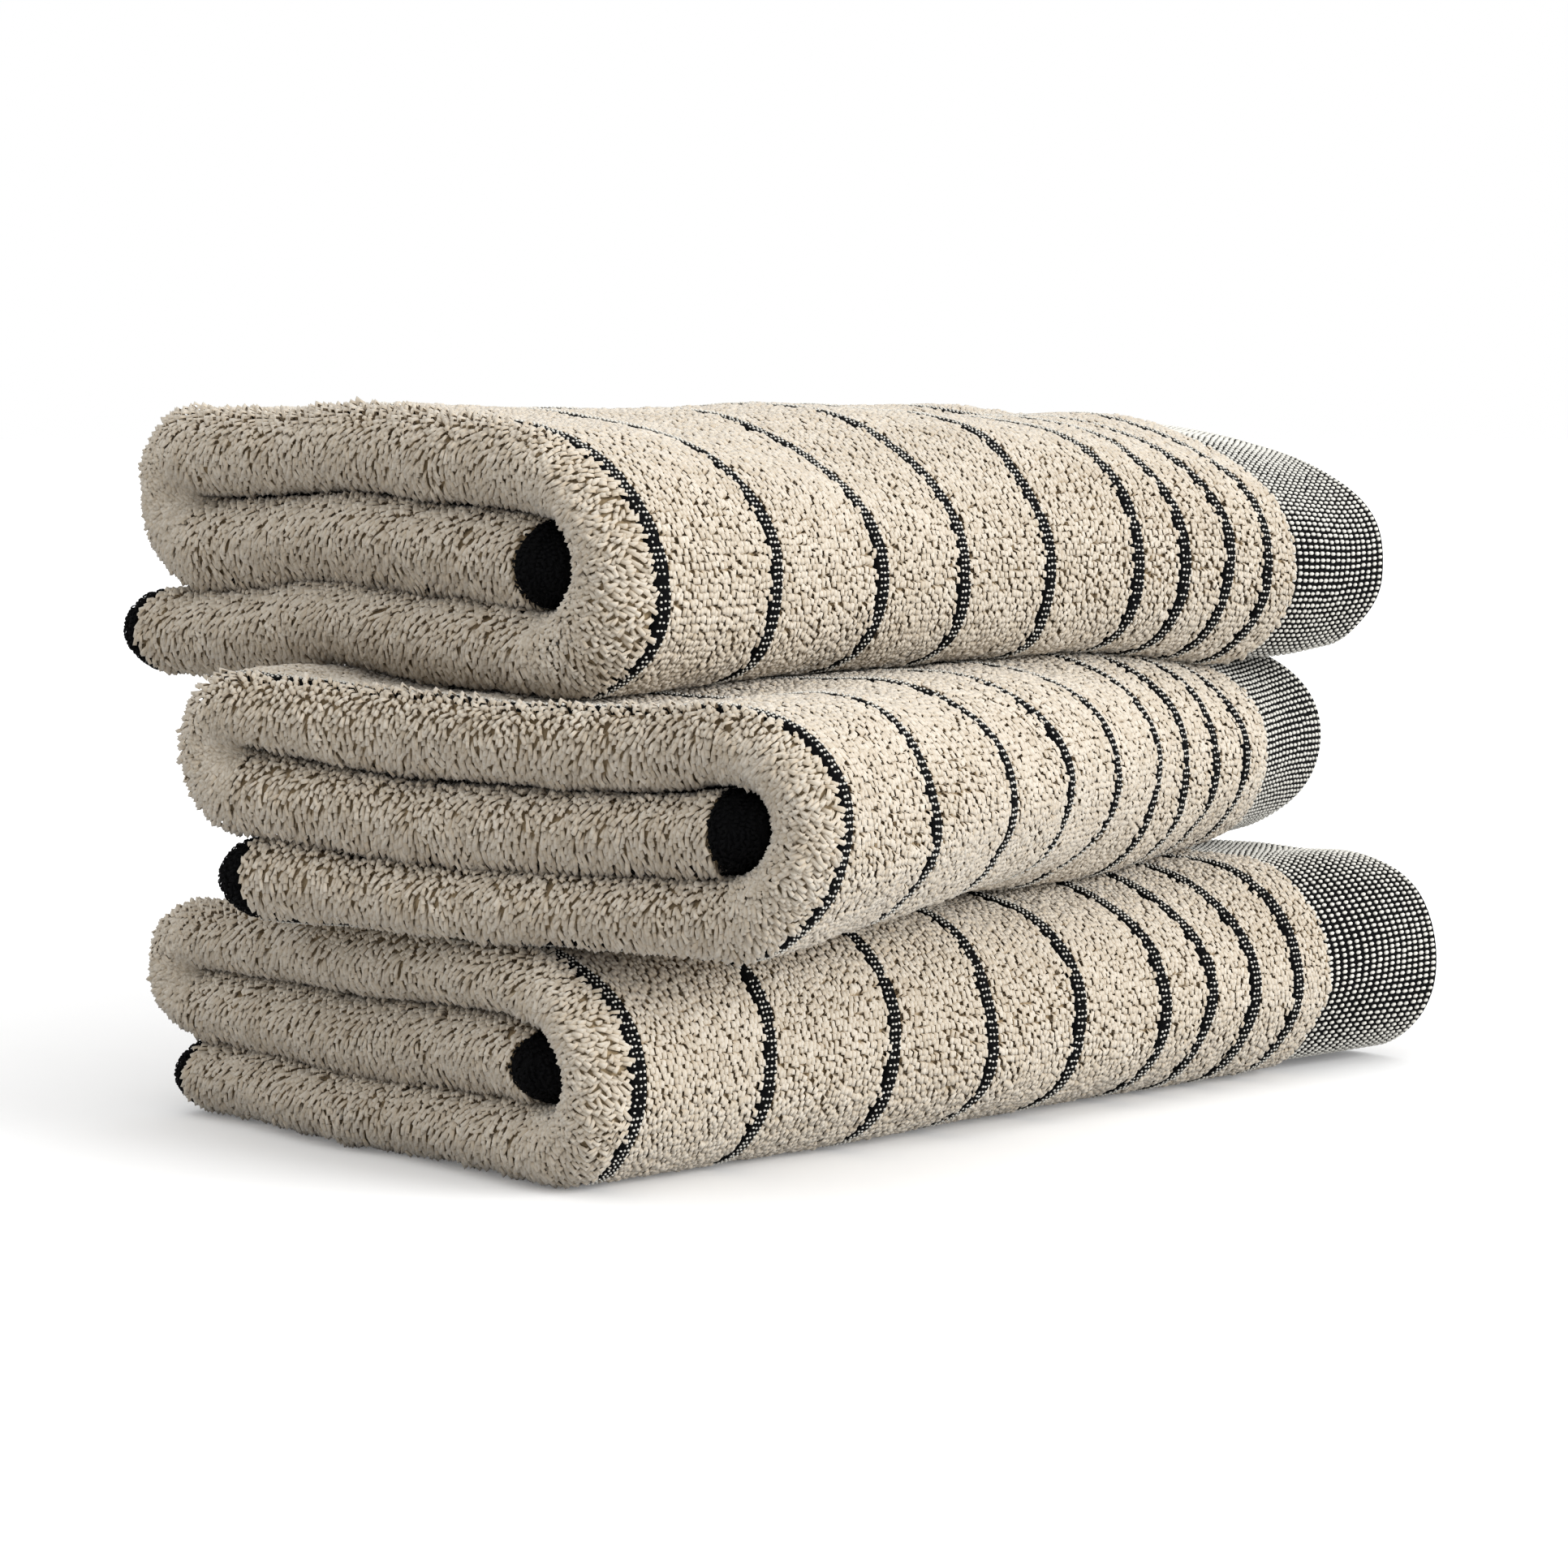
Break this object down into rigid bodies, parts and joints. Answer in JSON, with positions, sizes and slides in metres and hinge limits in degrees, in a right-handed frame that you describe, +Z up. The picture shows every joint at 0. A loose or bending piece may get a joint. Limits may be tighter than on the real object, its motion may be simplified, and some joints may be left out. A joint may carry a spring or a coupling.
{
  "type": "bath towel set",
  "caption": "Stack of folded terry bath towels with woven stripes, dobby end borders and bound dark edges.",
  "frame": {"origin": "on the surface the stack stands on, under the middle of its box", "axes": "+X along the folded towels to the border ends, -Y towards the wide front folds, +Z up"},
  "size_m": [0.5374, 0.4074, 0.2756],
  "materials": {
    "terry": "oatmeal cotton terry loops",
    "dobby": "flat woven black and cream dobby",
    "tape": "matte black cotton tape",
    "thread": "black sewing thread"
  },
  "bodies": {
    "bottom_towel": {"bottom_terry_cloth": "terry", "bottom_end_border": "dobby", "bottom_tucked_border": "dobby", "bottom_outer_binding": "tape", "bottom_inner_binding": "tape", "bottom_outer_seam": "thread", "bottom_inner_seam": "thread"},
    "middle_towel": {"middle_terry_cloth": "terry", "middle_end_border": "dobby", "middle_tucked_border": "dobby", "middle_outer_binding": "tape", "middle_inner_binding": "tape", "middle_outer_seam": "thread", "middle_inner_seam": "thread"},
    "top_towel": {"top_terry_cloth": "terry", "top_end_border": "dobby", "top_tucked_border": "dobby", "top_outer_binding": "tape", "top_inner_binding": "tape", "top_outer_seam": "thread", "top_inner_seam": "thread"}
  },
  "joints": [
    {"name": "middle_lift", "type": "slide", "parent": "bottom_towel", "child": "middle_towel", "axis": [0, 0, 1], "range_m": [0, 0.15]},
    {"name": "top_lift", "type": "slide", "parent": "middle_towel", "child": "top_towel", "axis": [0, 0, 1], "range_m": [0, 0.15]}
  ]
}
